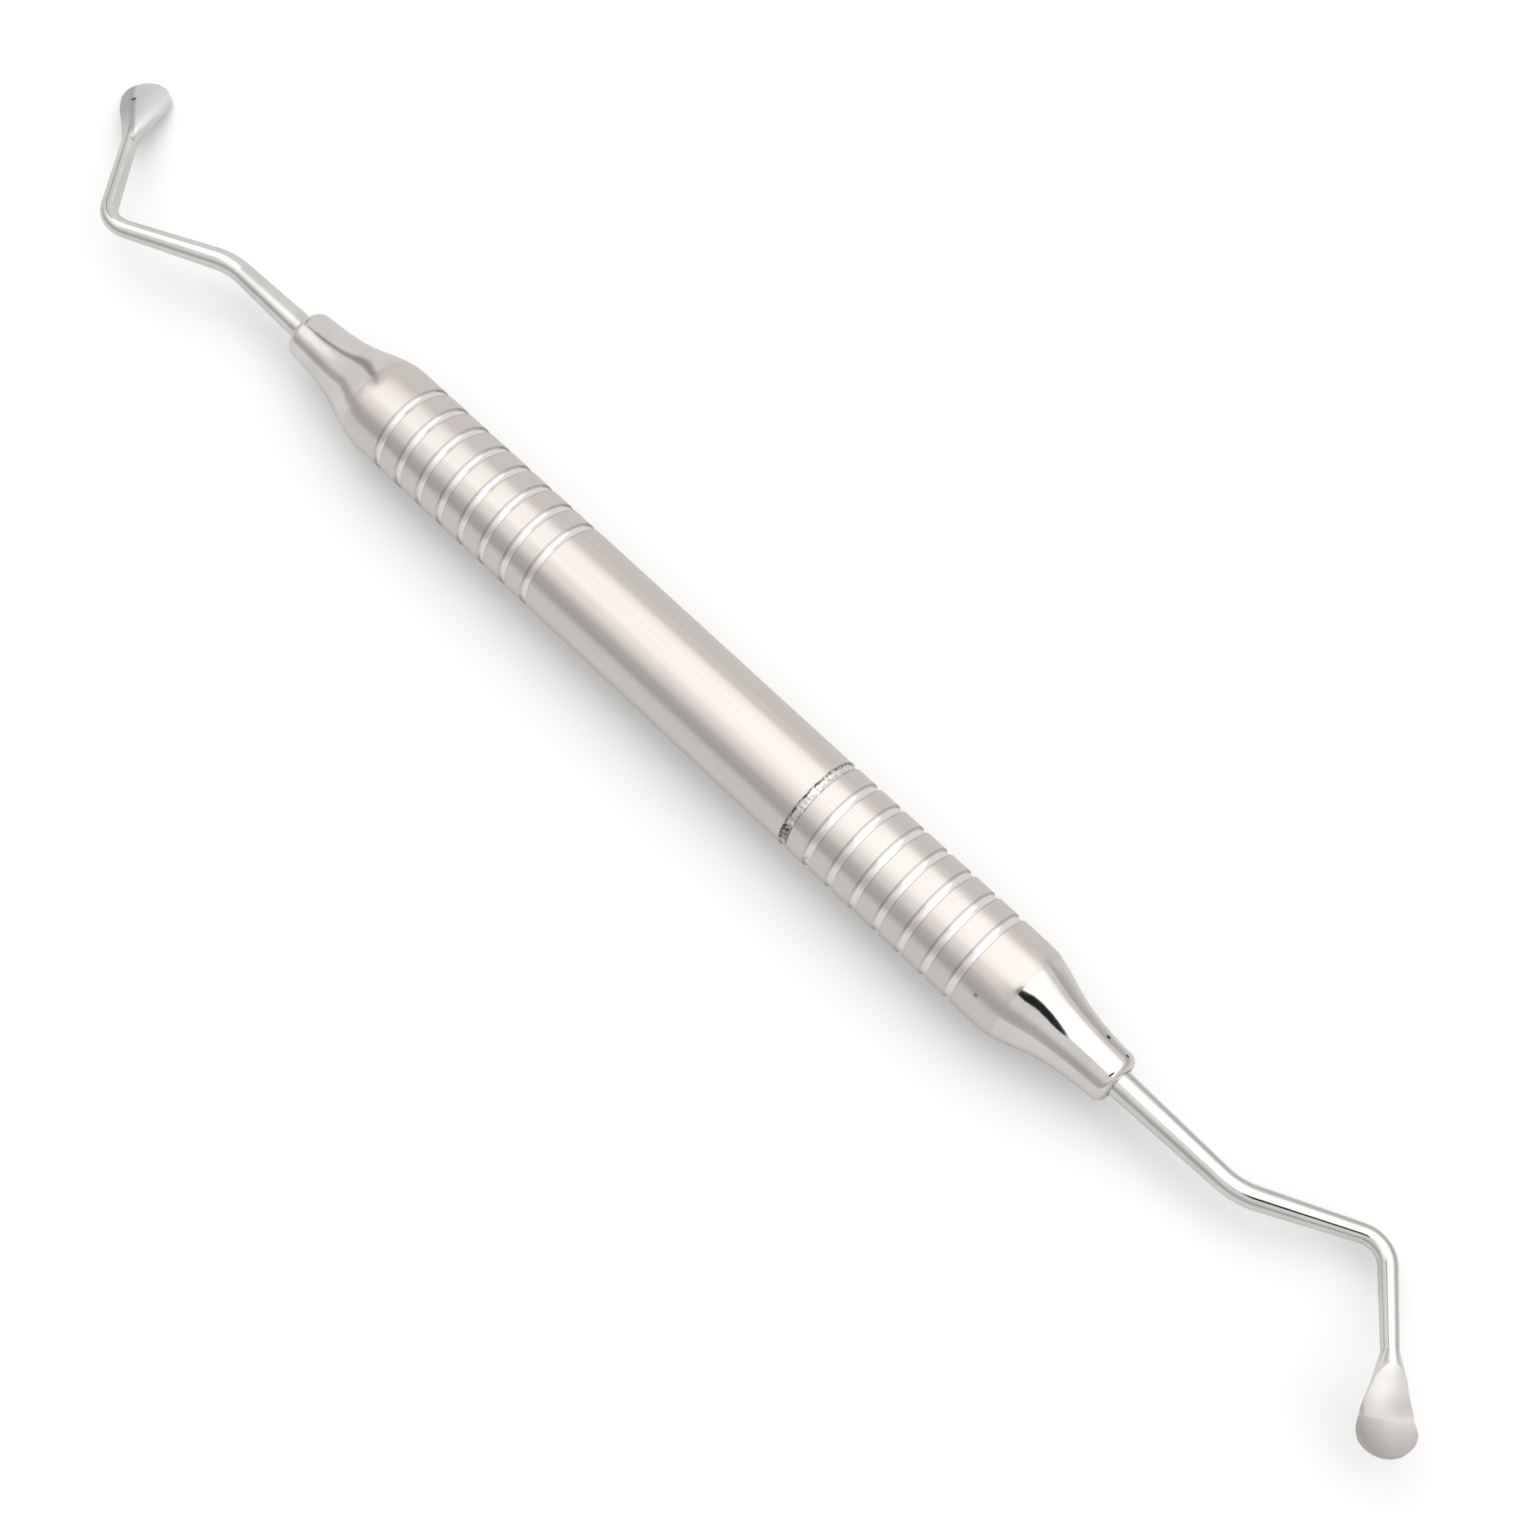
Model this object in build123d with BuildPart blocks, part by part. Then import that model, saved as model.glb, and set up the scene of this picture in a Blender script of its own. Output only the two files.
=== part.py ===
from build123d import *
from math import cos, radians, sin, tan
import os

# Double-ended surgical curette, lying on its round handle and rolled until the left spoon touches.
# X runs along the handle and Z is up. The origin is on the surface, under the middle of the handle.

# Roll of the plane that both shanks are bent in, from level, with the left spoon's side down
lying_roll = 26.4

# Handle barrel, a tube with eight finger grooves near each end
handle_diameter = 10.0
wall_thickness = 1.0
barrel_length = 87.8
shoulder_length = 2.2
shoulder_drop = 0.22
shoulder_slope = 0.35
groove_count = 8
groove_pitch = 3.0
groove_width = 0.9
groove_floor = 0.5
groove_depth = 0.2
groove_gap = 35.3

# Ferrules, the polished noses that close the barrel and hold the shanks
nose_length = 11.2
nose_end_diameter = 5.3
nose_waist_diameter = 7.4
nose_waist_share = 0.3
nose_end_round = 0.85
nose_start_slope = 0.2
nose_end_slope = 0.05
spigot_length = 8.0
socket_depth = 12.0
fit_clearance = 0.02

# Shanks, which taper from the nose to the neck of the spoon
root_diameter = 2.75
knee_diameter = 2.25
elbow_diameter = 1.85
neck_diameter = 1.65
right_straight_run = 14.0
left_straight_run = 11.5
middle_run = 13.7
right_terminal_run = 10.1
left_terminal_run = 11.5
knee_angle = 28.5
elbow_angle = 79.5
knee_radius = 7.0
elbow_radius = 2.8

# Spoons, broadened from the end of the shank and set down a little from its axis.
# The right one is hollowed on its upper side and the left one on its lower side, to scrape both ways.
spoon_length = 8.9
spoon_width = 5.5
tip_length = 2.4
tip_overrun = 0.6
outline_margin = 0.08
flare_start_pull = 3.75
flare_end_pull = 1.7
flare_rise = 0.55
spoon_drop = 0.95
spoon_depth = 1.15
tip_depth = 0.45
throat_place = 3.4
throat_width = 3.9
throat_depth = 1.2
right_spoon_roll = 4.0
left_spoon_roll = -11.5
ramp_start = 1.3
ramp_angle = 34.0
bowl_place = 5.6
bowl_depth = 0.5

handle_radius = handle_diameter / 2
bore_radius = handle_radius - wall_thickness
nose_end = barrel_length / 2 + nose_length
handle_axis = Axis((0, 0, handle_radius), (1, 0, 0))


def end_plane(side):
    """Plane in which the shank bends, with X pointing out of the handle at that end"""
    upright = (0, sin(radians(lying_roll)), cos(radians(lying_roll)))
    return Plane(origin=handle_axis.position, x_dir=(side, 0, 0), z_dir=upright)


def turned(first, second, angle):
    """Direction turned from the first towards the second"""
    return first * cos(radians(angle)) + second * sin(radians(angle))


def make_barrel():
    """Turned tube with rounded shoulders and rings of shallow grooves"""
    half = barrel_length / 2
    crest = half - shoulder_length
    shoulder_radius = handle_radius - shoulder_drop
    with BuildPart() as barrel:
        with BuildSketch(end_plane(1)):
            with BuildLine():
                left_end = Line((-half, bore_radius), (-half, shoulder_radius))
                left_shoulder = Spline(
                    left_end @ 1, (-crest, handle_radius), tangents=((1, shoulder_slope), (1, 0))
                )
                top = Line(left_shoulder @ 1, (crest, handle_radius))
                right_shoulder = Spline(
                    top @ 1, (half, shoulder_radius), tangents=((1, 0), (1, -shoulder_slope))
                )
                right_end = Line(right_shoulder @ 1, (half, bore_radius))
                Line(right_end @ 1, left_end @ 0)
            make_face()
            for side in (-1, 1):
                for index in range(groove_count):
                    centre = side * (groove_gap / 2 + index * groove_pitch)
                    with Locations((centre, handle_radius)):
                        Polygon(
                            (-groove_width / 2, 0),
                            (-groove_floor / 2, -groove_depth),
                            (groove_floor / 2, -groove_depth),
                            (groove_width / 2, 0),
                            align=None,
                            mode=Mode.SUBTRACT,
                        )
        revolve(axis=handle_axis)
    return barrel


def make_ferrule(side):
    """Nose with a spigot for the barrel and a socket for the shank"""
    plane = end_plane(side)
    shoulder = barrel_length / 2
    spigot_end = shoulder - spigot_length
    spigot_radius = bore_radius - fit_clearance
    tip_radius = nose_end_diameter / 2
    with BuildPart() as ferrule:
        with BuildSketch(plane):
            with BuildLine():
                back = Line((spigot_end, 0), (spigot_end, spigot_radius))
                spigot = Line(back @ 1, (shoulder, spigot_radius))
                seat = Line(spigot @ 1, (shoulder, handle_radius - shoulder_drop))
                flare = Spline(
                    seat @ 1,
                    (shoulder + nose_length * nose_waist_share, nose_waist_diameter / 2),
                    (nose_end - nose_end_round, tip_radius),
                    tangents=((1, -nose_start_slope), (1, -nose_end_slope)),
                )
                lip = TangentArc(
                    flare @ 1, (nose_end, tip_radius - nose_end_round), tangent=(1, -nose_end_slope)
                )
                front = Line(lip @ 1, (nose_end, 0))
                Line(front @ 1, back @ 0)
            make_face()
        revolve(axis=handle_axis)
        with BuildSketch(Plane(origin=plane.from_local_coords((nose_end, 0, 0)), z_dir=-plane.x_dir)):
            Circle(root_diameter / 2 + fit_clearance)
        extrude(amount=socket_depth, mode=Mode.SUBTRACT)
    return ferrule


def make_spoon(face, drop, cutter):
    """Spoon on its own plane: X out along it from the neck, Z out through its face"""
    neck_radius = neck_diameter / 2
    half_width = spoon_width / 2
    lobe_centre = spoon_length - tip_length
    with BuildPart() as spoon:
        stations = (
            (0, neck_radius, neck_radius, 0),
            (throat_place, throat_width / 2, throat_depth, drop / 2),
            (lobe_centre, half_width, spoon_depth, drop),
            (spoon_length + tip_overrun, half_width, tip_depth, drop),
        )
        for place, half, depth, station_drop in stations:
            centre = face.from_local_coords((place, 0, -station_drop))
            with BuildSketch(Plane(origin=centre, x_dir=face.y_dir, z_dir=face.x_dir)):
                Ellipse(half, depth)
        loft()
        with BuildSketch(face):
            with BuildLine():
                flare = Bezier(
                    (0, neck_radius + outline_margin),
                    (flare_start_pull, neck_radius + flare_rise),
                    (lobe_centre - flare_end_pull, half_width),
                    (lobe_centre, half_width),
                )
                EllipticalCenterArc((lobe_centre, 0), tip_length, half_width, arc_size=90)
                Line((spoon_length, 0), (0, 0))
                Line((0, 0), flare @ 0)
            make_face()
            mirror(about=Plane.XZ)
        extrude(amount=spoon_width, both=True, mode=Mode.INTERSECT)
        add(cutter.part, mode=Mode.SUBTRACT)
    return spoon


def make_face_cutter(face, drop):
    """Space over the face: one smooth hollow that ramps down from the shank and rises to the tip"""
    neck_radius = neck_diameter / 2
    half_width = spoon_width / 2
    hollow_radius = (half_width**2 + bowl_depth**2) / (2 * bowl_depth)
    hollow_axis_height = hollow_radius - bowl_depth - drop
    bottom = -drop - bowl_depth
    slope = tan(radians(ramp_angle))
    ramp_top = (ramp_start - neck_radius / slope, neck_diameter)
    ramp_foot = (ramp_start + (neck_radius - bottom) / slope, bottom)
    side_view = Plane(origin=face.origin, x_dir=face.x_dir, z_dir=-face.y_dir)
    with BuildPart() as cutter:
        with BuildSketch(side_view):
            with BuildLine():
                ramp = Bezier(ramp_top, ramp_foot, (bowl_place, bottom))
                rise = TangentArc(ramp @ 1, (spoon_length, -drop), tangent=(1, 0))
                lip = Line(rise @ 1, rise @ 1 + rise % 1 * spoon_width)
                Polyline(
                    lip @ 1,
                    ((lip @ 1).X, hollow_axis_height),
                    (ramp_top[0], hollow_axis_height),
                    ramp @ 0,
                )
            make_face()
        revolve(axis=Axis(side_view.from_local_coords((0, hollow_axis_height)), face.x_dir))
    return cutter


def section_plane(stretch, place, up):
    """Plane across a stretch of the shank's route, with Y up"""
    along = stretch % place
    return Plane(origin=stretch @ place, x_dir=along.cross(up), z_dir=along)


def make_working_end(side, facing, straight_run, terminal_run, spoon_roll):
    """Bent, tapering shank with a spoon at its end, in one piece"""
    plane = end_plane(side)
    out, sideways, up = plane.x_dir, plane.y_dir, plane.z_dir
    middle = turned(out, sideways, knee_angle)
    terminal = turned(out, sideways, knee_angle - elbow_angle)
    start = plane.origin + out * nose_end
    knee = start + out * straight_run
    elbow = knee + middle * middle_run
    neck = elbow + terminal * terminal_run
    face = Plane(origin=neck, x_dir=terminal, z_dir=turned(up * facing, up.cross(terminal), spoon_roll))
    drop = spoon_drop * facing
    spoon = make_spoon(face, drop, make_face_cutter(face, drop))
    with BuildLine() as route:
        FilletPolyline(start, knee, elbow, neck, radius=(knee_radius, elbow_radius))
    diameters = (root_diameter, knee_diameter, knee_diameter, elbow_diameter, elbow_diameter, neck_diameter)
    stretches = route.wire().order_edges()
    with BuildPart() as working_end:
        with BuildSketch(Plane(origin=start, x_dir=sideways, z_dir=-out)):
            Circle(root_diameter / 2)
        extrude(amount=socket_depth)
        for stretch, first_diameter, last_diameter in zip(stretches, diameters, diameters[1:]):
            with BuildSketch(section_plane(stretch, 0, up)):
                Circle(first_diameter / 2)
            if stretch.geom_type == GeomType.CIRCLE:
                sweep(path=stretch)
            else:
                with BuildSketch(section_plane(stretch, 1, up)):
                    Circle(last_diameter / 2)
                loft()
        add(spoon.part)
    return working_end


pieces = {"handle_barrel": make_barrel()}
ends = (
    (-1, "left", -1, left_straight_run, left_terminal_run, left_spoon_roll),
    (1, "right", 1, right_straight_run, right_terminal_run, right_spoon_roll),
)
for side, name, facing, straight_run, terminal_run, spoon_roll in ends:
    pieces[f"{name}_ferrule"] = make_ferrule(side)
    pieces[f"{name}_working_end"] = make_working_end(
        side, facing, straight_run, terminal_run, spoon_roll
    )

os.makedirs("parts", exist_ok=True)
for name, piece in pieces.items():
    piece.part.label = name
    export_step(piece.part, f"parts/{name}.step")
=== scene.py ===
import bpy
from mathutils import Matrix, Vector

# Double-ended surgical curette, in metres, lying on its handle: X along the handle, Z up.
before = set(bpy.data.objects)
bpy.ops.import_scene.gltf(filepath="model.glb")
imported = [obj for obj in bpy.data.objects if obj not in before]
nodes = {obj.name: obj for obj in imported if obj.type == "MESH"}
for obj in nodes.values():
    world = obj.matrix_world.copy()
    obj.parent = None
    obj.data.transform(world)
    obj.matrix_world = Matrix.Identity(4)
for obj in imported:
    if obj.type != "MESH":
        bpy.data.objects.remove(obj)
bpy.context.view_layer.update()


# Handle barrel: a steel tube turned with finger grooves and brushed lengthwise to a warm satin. The
# grooves are cooler and smoother, with thin dark lines of painted shade along their edges, fainter
# on the low side, and the one nearest the middle on the right holds a brown residue, thickest low on
# the side.
class Field:
    """A socket of a material, with arithmetic and calls that add the nodes for a new one"""

    def __init__(self, socket):
        self.socket = socket

    def node(self, kind, settings=None, output=0, **inputs):
        """Output of a new node, whose inputs are given by name, or by place as i0, i1 and so on"""
        tree = self.socket.id_data
        made = tree.nodes.new(kind)
        for name, value in (settings or {}).items():
            setattr(made, name, value)
        for name, value in inputs.items():
            by_place = name[0] == "i" and name[1:].isdigit()
            key = int(name[1:]) if by_place else name.replace("_", " ")
            if isinstance(value, Field):
                tree.links.new(value.socket, made.inputs[key])
            else:
                made.inputs[key].default_value = value
        return Field(made.outputs[output])

    def math(self, operation, *others):
        operands = dict(zip(("i0", "i1", "i2"), (self, *others)))
        return self.node("ShaderNodeMath", {"operation": operation}, **operands)

    def vector(self, operation, other, output=0):
        return self.node(
            "ShaderNodeVectorMath", {"operation": operation}, output, i0=self, i1=other
        )

    def __add__(self, other):
        return self.math("ADD", other)

    __radd__ = __add__

    def __sub__(self, other):
        return self.math("SUBTRACT", other)

    def __rsub__(self, other):
        return self.math("MULTIPLY_ADD", -1.0, other)

    def __mul__(self, other):
        return self.math("MULTIPLY", other)

    __rmul__ = __mul__

    def __truediv__(self, other):
        return self.math("DIVIDE", other)

    def __abs__(self):
        return self.math("ABSOLUTE")

    def clamped(self):
        return self.math("MAXIMUM", 0.0).math("MINIMUM", 1.0)

    def past(self, start, end):
        """Smooth step, 0 up to start and 1 from end"""
        return self.node(
            "ShaderNodeMapRange", {"interpolation_type": "SMOOTHSTEP"},
            Value=self, From_Min=start, From_Max=end,
        )

    def up_to(self, start, end):
        """Smooth step, 1 up to start and 0 from end"""
        return 1.0 - self.past(start, end)

    def part(self, index):
        return self.node("ShaderNodeSeparateXYZ", output=index, i0=self)

    def toward(self, direction):
        """How far a place lies in a direction"""
        return self.vector("DOT_PRODUCT", direction, 1)

    def stretched(self, scale):
        return self.vector("MULTIPLY", scale)

    def spot(self, centre, radius):
        """1 within a ball round the centre, with a soft edge"""
        return self.vector("DISTANCE", centre, 1).up_to(radius * 0.5, radius)

    def stroke(self, start, end, width):
        """1 along the straight line between two points, with soft edges"""
        start, run = Vector(start), Vector(end) - Vector(start)
        away = self.vector("SUBTRACT", start)
        share = (away.toward(run) / run.length_squared).clamped()
        nearest = share.node("ShaderNodeVectorMath", {"operation": "SCALE"}, i0=run, Scale=share)
        return away.vector("DISTANCE", nearest, 1).up_to(width * 0.25, width * 0.5)

    def noise(self, scale, detail=2.0):
        return self.node("ShaderNodeTexNoise", Vector=self, Scale=scale, Detail=detail)

    def blend(self, first, second):
        """Colour that goes from the first to the second as this field goes from 0 to 1"""
        return self.node(
            "ShaderNodeMix", {"data_type": "RGBA"}, output=2, Factor=self, i6=first, i7=second
        )

    def bump(self, strength, distance):
        """Surface direction, tilted as this height asks, in units of the distance"""
        return self.node("ShaderNodeBump", Strength=strength, Distance=distance, Height=self)


def metal(name):
    """Material with a metal shader, that shader, and the field of object coordinates"""
    material = bpy.data.materials.new(name)
    material.use_nodes = True
    shader = material.node_tree.nodes["Principled BSDF"]
    shader.inputs["Metallic"].default_value = 1.0
    place = Field(material.node_tree.nodes.new("ShaderNodeTexCoord").outputs["Object"])
    return material, shader, place


def drive(shader, socket, field):
    shader.id_data.links.new(field.socket, shader.inputs[socket])


handle_radius = 0.005
first_groove = 0.01765
groove_pitch = 0.003
groove_half_width = 0.00045
groove_wall_width = 0.0002
lump_place = (first_groove, -0.0042, 0.0076)
trace_place = (first_groove + groove_pitch, -0.0046, 0.0063)
nick_place = (0.04105, -0.00306, 0.00895)
dark_streak = (0.715, 0.665, 0.625, 1.0)
light_streak = (0.775, 0.73, 0.69, 1.0)
groove_colour = (0.90, 0.89, 0.88, 1.0)
rim_shade_colour = (0.13, 0.12, 0.11, 1.0)
residue_colour = (0.14, 0.12, 0.09, 1.0)

satin, satin_shader, place = metal("satin_steel")
along = place.part(0)
nearest = along.math("SIGN") * first_groove
past_groove = (((along - nearest) / groove_pitch + 0.5).math("FRACT") - 0.5) * groove_pitch
from_groove = abs(past_groove)
in_group = abs(along).past(0.0160, 0.0161) * abs(along).up_to(0.0405, 0.0406)
in_groove = in_group * from_groove.up_to(0.00038, 0.00046)
# Painted shade: a thin dark line along each edge of every groove, fainter on the low side.
left_rim_shade = in_group * abs(past_groove + 0.0004).up_to(0.00006, 0.00016)
right_rim_shade = in_group * abs(past_groove - groove_half_width).up_to(0.00003, 0.00011)
low_side = place.part(1).up_to(-0.0047, -0.003)
groove_rim_shade = (left_rim_shade * 0.42).math("MAXIMUM", right_rim_shade * 0.3) * (1.0 - low_side * 0.6)

in_first_groove = abs(along - first_groove).up_to(0.0004, 0.00062)
specks = place.noise(3200.0, 4.0).past(0.46, 0.6)
lump = place.spot(lump_place, 0.0017) * (0.6 + specks * 0.3)
trace = place.spot(trace_place, 0.0012) * specks * 0.5
nick = place.spot(nick_place, 0.0003) * 0.6
dirty_rims = groove_rim_shade * (0.2 + specks * 1.3) + specks * 0.36
residue = in_first_groove * (dirty_rims + lump) + in_groove * trace + nick
residue = residue.math("MINIMUM", 1.0)

streaks = place.stretched((30.0, 9000.0, 9000.0)).noise(1.0)
broad_streaks = place.stretched((8.0, 1500.0, 1500.0)).noise(1.0)
cloud = place.noise(180.0)
steel = (streaks * 0.5 + broad_streaks * 0.5).past(0.3, 0.7).blend(dark_streak, light_streak)
steel = in_groove.blend(steel, groove_colour)
# The painted shade goes onto the groove edges here.
steel = groove_rim_shade.blend(steel, rim_shade_colour)
drive(satin_shader, "Base Color", residue.blend(steel, residue_colour))
roughness = 0.19 + broad_streaks * 0.07 + cloud * 0.03
drive(satin_shader, "Roughness", roughness + residue * 0.4)

# The solid's groove has flat walls and a flat floor, and the relief rounds them to one hollow.
flat_groove = ((groove_half_width - from_groove) / groove_wall_width).clamped()
round_groove = (1.0 - (from_groove / groove_half_width).math("POWER", 2.0)).math("MAXIMUM", 0.0)
relief = in_group * (flat_groove * 0.28 - round_groove * 0.07)
relief = relief + streaks * 0.0012 * (1.0 - in_groove)
drive(satin_shader, "Normal", relief.bump(1.0, 0.001))
nodes["handle_barrel"].material_slots[0].material = satin

# Ferrules: the polished steel noses, turned, and pressed into the ends of the barrel. They have
# faint polishing lines, a dull, dark seam where each shank enters, and two pits on the right one.
nose_end = 0.0551
shank_radius = 0.00145
pit_places = ((0.0519, 0.00231, 0.00662), (0.05424, 0.00221, 0.00645))
dark_polish = (0.76, 0.735, 0.72, 1.0)
light_polish = (0.83, 0.81, 0.80, 1.0)
pit_colour = (0.06, 0.05, 0.06, 1.0)
seam_colour = (0.20, 0.10, 0.08, 1.0)

polished, polished_shader, place = metal("polished_steel")
across = place.part(1)
height = place.part(2) - handle_radius
from_axis = (across * across + height * height).math("SQRT")
at_end = abs(place.part(0)).past(nose_end - 0.00025, nose_end - 0.00005)
seam = at_end * from_axis.up_to(shank_radius, shank_radius + 0.00035)
pits = place.spot(pit_places[0], 0.00028) + place.spot(pit_places[1], 0.00022)
smudges = place.noise(260.0, 3.0)
shine = smudges.past(0.3, 0.75).blend(dark_polish, light_polish)
shine = pits.math("MINIMUM", 1.0).blend(shine, pit_colour)
drive(polished_shader, "Base Color", (seam * 0.7).blend(shine, seam_colour))
drive(polished_shader, "Roughness", 0.07 + smudges * 0.05 + seam * 0.3)
lines = place.stretched((2500.0, 90.0, 90.0)).noise(1.0)
drive(polished_shader, "Normal", lines.bump(0.25, 0.000004))
for name in ("left_ferrule", "right_ferrule"):
    nodes[name].material_slots[0].material = polished

# Working ends: one piece of bright steel each, tapered, bent twice, forged to a spoon and polished.
# The right spoon shows its hollow, with a painted highlight at the throat and painted shade towards
# the tip, and the left one its back, with painted shade along one flank and a painted dark
# reflection, a line that ends in a dot.
spoon_direction = (0.629, -0.696, 0.346)
flank_direction = (-0.5555, -0.8315, 0.0)
reflection_line_start = (-0.08541, 0.00252, 0.00455)
reflection_line_bend = (-0.08731, 0.00393, 0.00397)
reflected_dot_place = (-0.09032, 0.0058, 0.00219)
reflection_line_width = 0.0006
dark_bright = (0.75, 0.735, 0.72, 1.0)
light_bright = (0.82, 0.805, 0.79, 1.0)
throat_highlight_colour = (0.94, 0.92, 0.91, 1.0)
tip_shade_colour = (0.55, 0.52, 0.51, 1.0)
back_colour = (0.835, 0.825, 0.825, 1.0)
flank_shade_colour = (0.38, 0.36, 0.38, 1.0)
dark_reflection_colour = (0.16, 0.14, 0.17, 1.0)

bright, bright_shader, place = metal("bright_steel")
outward_right = place.vector("SUBTRACT", (0.0, 0.0, handle_radius)).toward(spoon_direction)
outward_left = outward_right * -1.0
# Painted highlight across the right spoon's throat, and painted shade towards its tip.
throat_highlight = outward_right.past(0.0555, 0.0570) * outward_right.up_to(0.0590, 0.0612)
tip_shade = outward_right.past(0.0590, 0.0630)
back = outward_left.past(0.056, 0.0585)
# Painted shade along one flank of the left spoon's back.
flank_shade = place.toward(flank_direction).past(0.0452, 0.0456) * outward_left.past(0.0555, 0.0605)
# Painted reflection on the left spoon's back: a dark line in two strokes that ends in a dark dot.
inner_reflection_line = place.stroke(reflection_line_start, reflection_line_bend, reflection_line_width)
outer_reflection_line = place.stroke(reflection_line_bend, reflected_dot_place, reflection_line_width)
reflected_dot = place.spot(reflected_dot_place, 0.0004)
dark_reflection = inner_reflection_line.math("MAXIMUM", outer_reflection_line) * 0.3 + reflected_dot * 0.7
shine = place.noise(240.0, 2.0).past(0.3, 0.7).blend(dark_bright, light_bright)
shine = (throat_highlight * 0.85).blend(shine, throat_highlight_colour)
shine = tip_shade.blend(shine, tip_shade_colour)
shine = back.blend(shine, back_colour)
shine = (flank_shade * 0.6).blend(shine, flank_shade_colour)
drive(bright_shader, "Base Color", dark_reflection.math("MINIMUM", 1.0).blend(shine, dark_reflection_colour))
wear = place.noise(900.0, 4.0)
on_spoon = abs(outward_right).past(0.056, 0.0585)
drive(bright_shader, "Roughness", 0.09 + wear * 0.06 + on_spoon * 0.3)
drive(bright_shader, "Normal", wear.bump(0.2, 0.00001))
for name in ("left_working_end", "right_working_end"):
    nodes[name].material_slots[0].material = bright

# Floor: white to the camera where the light falls freely, with the soft shadow kept. The metal
# reflects it a little darker, and darker again on the far side of the right end.
bpy.ops.mesh.primitive_plane_add(size=4.0, location=(0.0, 0.0, -0.00002))
floor = bpy.context.object
floor.name = "floor"
floor_material = bpy.data.materials.new("floor")
floor_material.use_nodes = True
tree = floor_material.node_tree
tree.nodes.clear()
path = tree.nodes.new("ShaderNodeLightPath")
seen = Field(path.outputs["Is Camera Ray"])
mirrored = Field(path.outputs["Is Glossy Ray"])
place = Field(tree.nodes.new("ShaderNodeTexCoord").outputs["Object"])
far_side = place.part(0).past(0.042, 0.054) * place.part(1).past(0.006, 0.016)
white = 0.8 + seen * 0.28 - mirrored * (0.04 + far_side * 0.24)
shade = white.node("ShaderNodeCombineColor", Red=white, Green=white, Blue=white)
surface = shade.node("ShaderNodeBsdfDiffuse", Color=shade)
output = tree.nodes.new("ShaderNodeOutputMaterial")
tree.links.new(surface.socket, output.inputs["Surface"])
floor.data.materials.append(floor_material)

# Light: the metal reflects a pale room with a large soft panel overhead towards +Y, a small one
# towards -X, a dim stretch towards -Y, a dark stripe and a dark shape. The floor is lit by a plainer
# room with one strong panel overhead, and behind the floor the camera sees plain white.
world = bpy.data.worlds.new("room")
bpy.context.scene.world = world
world.use_nodes = True
tree = world.node_tree
direction = Field(tree.nodes.new("ShaderNodeTexCoord").outputs["Generated"])
upward = direction.part(2).math("MAXIMUM", 0.02)
panel_x = direction.part(0) / upward
panel_y = direction.part(1) / upward

key = panel_x.past(-0.85, -0.6) * panel_x.up_to(1.7, 2.2)
key = key * panel_y.past(-0.14, -0.02) * panel_y.up_to(1.4, 4.5)
side = panel_x.past(-1.6, -0.85) * panel_x.up_to(-0.3, 0.1)
side = side * panel_y.past(-0.75, -0.2) * panel_y.up_to(0.1, 0.3)
dim = panel_y.past(-7.0, -2.0) * panel_y.up_to(-1.35, -0.5)

azimuth = direction.part(1).math("ARCTAN2", direction.part(0))
spread = (panel_x * panel_x + panel_y * panel_y).math("SQRT")
stripe = abs(azimuth - 2.68).up_to(0.03, 0.16) * spread.past(0.7, 0.95)

# The dark shape is an ellipse, turned so that its long axis runs 4 along X to 3 along Y.
from_shape_x = panel_x - 0.533
from_shape_y = panel_y - 0.052
long_way = (from_shape_x * 0.8 + from_shape_y * 0.6) / 0.349
short_way = (from_shape_y * 0.8 - from_shape_x * 0.6) / 0.183
dark_shape = (long_way * long_way + short_way * short_way).up_to(0.8, 1.1)

reflected = 0.76 + (key * 0.6).math("MAXIMUM", side * 0.36) - dim * 0.3 - stripe * 0.4
reflected = reflected * (1.0 - dark_shape * 0.99)
overhead = panel_y.past(0.0, 0.3) * panel_y.up_to(0.8, 1.4)
overhead = overhead * panel_x.past(-2.5, -1.5) * panel_x.up_to(2.5, 3.5)
falling = 0.62 + overhead * 1.3

path = tree.nodes.new("ShaderNodeLightPath")
scattered = Field(path.outputs["Diffuse Depth"]).math("MINIMUM", 1.0)
seen = Field(path.outputs["Is Camera Ray"])
level = reflected + (falling - reflected) * scattered
level = level + (1.0 - level) * seen
background = tree.nodes["Background"]
tree.links.new(level.socket, background.inputs["Strength"])
background.inputs["Color"].default_value = (1.0, 0.995, 0.985, 1.0)

# Camera: the photograph's place and lens. The columns of its axes are its right, up and backward.
camera_place = (0.0838, -0.0088, 0.2496)
axes = Matrix(((0.7037, -0.6514, 0.2837), (0.6856, 0.7272, -0.0318), (-0.1854, 0.2172, 0.9584)))
bpy.ops.object.camera_add()
camera = bpy.context.object
camera.data.lens = 64.0
camera.data.sensor_width = 36.0
camera.data.clip_start = 0.01
camera.matrix_world = Matrix.Translation(camera_place) @ axes.to_4x4()
bpy.context.scene.camera = camera
bpy.context.scene.view_settings.view_transform = "Standard"
